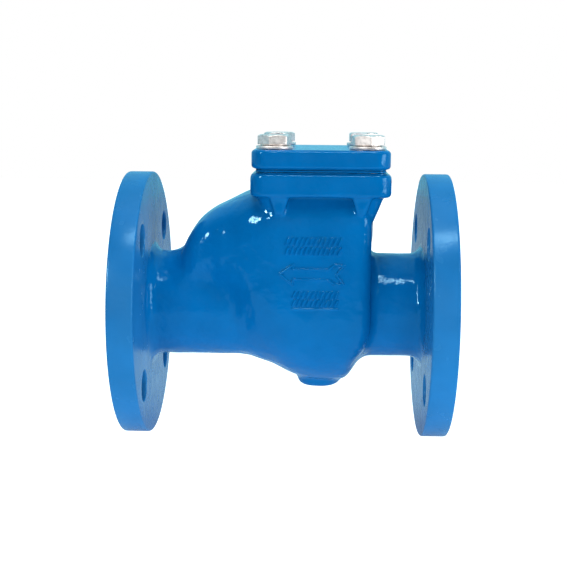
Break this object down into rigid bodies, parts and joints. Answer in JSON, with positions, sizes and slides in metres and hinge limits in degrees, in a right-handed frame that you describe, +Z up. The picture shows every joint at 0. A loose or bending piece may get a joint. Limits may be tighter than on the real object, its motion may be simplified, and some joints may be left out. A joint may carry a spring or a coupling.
{
  "type": "check valve",
  "caption": "Flanged swing check valve with a bolted bonnet over a hinged disc that lifts with the flow and falls back on its seat.",
  "frame": {"origin": "on the bore axis, midway between the two flange faces", "axes": "+X along the bore axis towards the inlet flange, +Z up towards the bonnet, -Y the side with the flow arrow; flow runs towards -X"},
  "size_m": [0.203, 0.165, 0.1896],
  "materials": {
    "blue_epoxy": "glossy fusion bonded epoxy on cast iron",
    "zinc_steel": "zinc plated, bright",
    "stainless": "machined stainless steel",
    "bronze": "machined bronze",
    "rubber": "moulded EPDM rubber",
    "gasket_fibre": "cut gasket sheet"
  },
  "bodies": {
    "valve_body": {"body": "blue_epoxy", "bonnet": "blue_epoxy", "bonnet_gasket": "gasket_fibre", "bonnet_bolt_1": "zinc_steel", "bonnet_bolt_2": "zinc_steel", "bonnet_bolt_3": "zinc_steel", "bonnet_bolt_4": "zinc_steel", "bonnet_washer_1": "zinc_steel", "bonnet_washer_2": "zinc_steel", "bonnet_washer_3": "zinc_steel", "bonnet_washer_4": "zinc_steel", "seat_ring": "bronze", "hinge_pin": "stainless", "pin_keeper_left": "stainless", "pin_keeper_right": "stainless", "keeper_screw_1": "stainless", "keeper_screw_2": "stainless", "keeper_screw_3": "stainless", "keeper_screw_4": "stainless"},
    "swing_arm": {"hinge_arm": "stainless", "hinge_bush_left": "bronze", "hinge_bush_right": "bronze"},
    "valve_disc": {"disc": "stainless", "disc_seal": "rubber", "seal_retainer": "stainless", "retainer_screw_1": "stainless", "retainer_screw_2": "stainless", "retainer_screw_3": "stainless", "disc_washer": "stainless", "disc_nut": "stainless", "disc_split_pin": "stainless"}
  },
  "joints": [
    {"name": "arm_swing", "type": "hinge", "parent": "valve_body", "child": "swing_arm", "pos_m": [0.032, 0, 0.049], "axis": [0, 1, 0], "range_deg": [0, 77]},
    {"name": "disc_spin", "type": "hinge", "parent": "swing_arm", "child": "valve_disc", "pos_m": [0.029, 0, 0], "axis": [1, 0, 0], "continuous": true}
  ]
}
